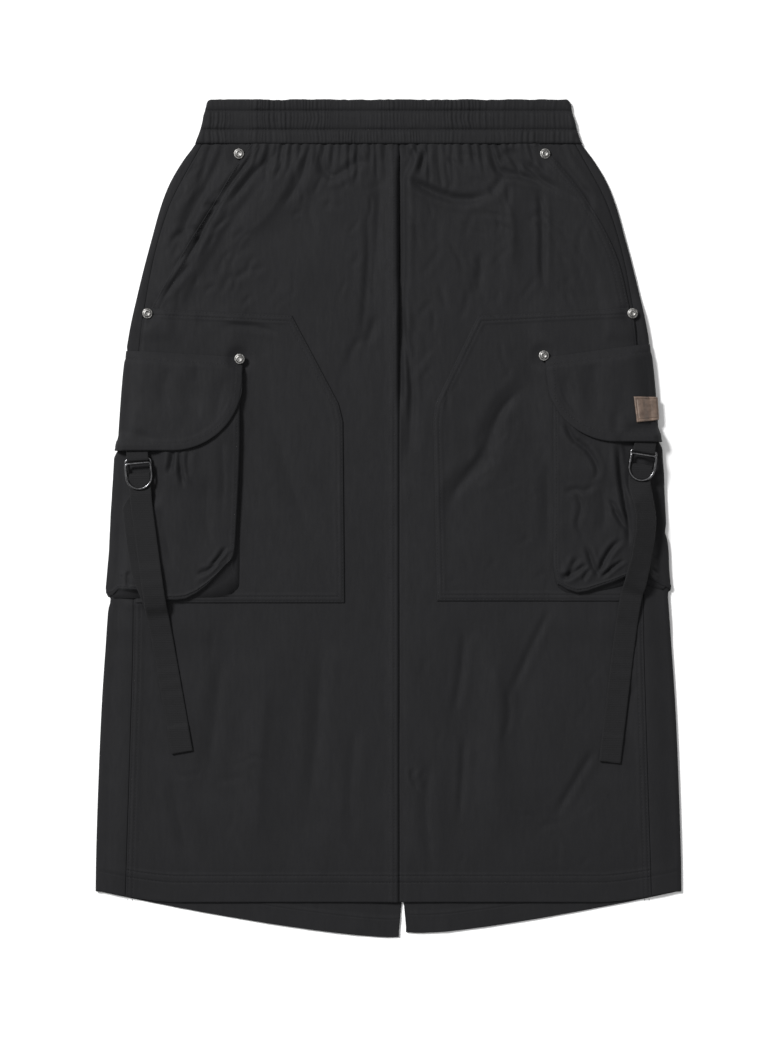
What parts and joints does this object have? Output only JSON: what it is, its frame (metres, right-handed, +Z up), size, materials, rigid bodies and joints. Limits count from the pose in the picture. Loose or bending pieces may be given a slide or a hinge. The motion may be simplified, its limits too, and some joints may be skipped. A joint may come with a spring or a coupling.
{
  "type": "cargo utility skirt",
  "caption": "Long gathered-waist cargo skirt laid flat, with slant hip pockets, thigh patches, flapped side pockets, and webbing straps through D-rings.",
  "frame": {"origin": "under the middle of the skirt as it lies, on the surface that it rests on", "axes": "+Y towards the waistband, +Z up off the surface, +X to the viewer's right looking down at the front"},
  "size_m": [0.5282, 0.755, 0.0203],
  "materials": {
    "cloth": "matt near-black nylon with a faint sheen and a fine crinkle",
    "waistband_cloth": "the same cloth gathered over elastic into fine upright ribs",
    "webbing": "dense near-black woven tape",
    "ring_metal": "smooth gunmetal plating",
    "rivet_metal": "antique silver, darker in its hollows",
    "leather": "brown leather with a pressed frame line"
  },
  "bodies": {
    "root": {"waistband": "waistband_cloth", "front_left": "cloth", "back_left": "cloth", "hip_facing_left": "cloth", "thigh_patch_left": "cloth", "cargo_pocket_left": "cloth", "cargo_flap_left": "cloth", "ring_tab_left": "webbing", "strap_left": "webbing", "d_ring_left_upper": "ring_metal", "d_ring_left_lower": "ring_metal", "rivet_hip_left": "rivet_metal", "rivet_mouth_left": "rivet_metal", "rivet_flap_left": "rivet_metal", "front_right": "cloth", "back_right": "cloth", "hip_facing_right": "cloth", "thigh_patch_right": "cloth", "cargo_pocket_right": "cloth", "cargo_flap_right": "cloth", "ring_tab_right": "webbing", "strap_right": "webbing", "d_ring_right_upper": "ring_metal", "d_ring_right_lower": "ring_metal", "rivet_hip_right": "rivet_metal", "rivet_mouth_right": "rivet_metal", "rivet_flap_right": "rivet_metal", "leather_label": "leather"}
  },
  "joints": []
}
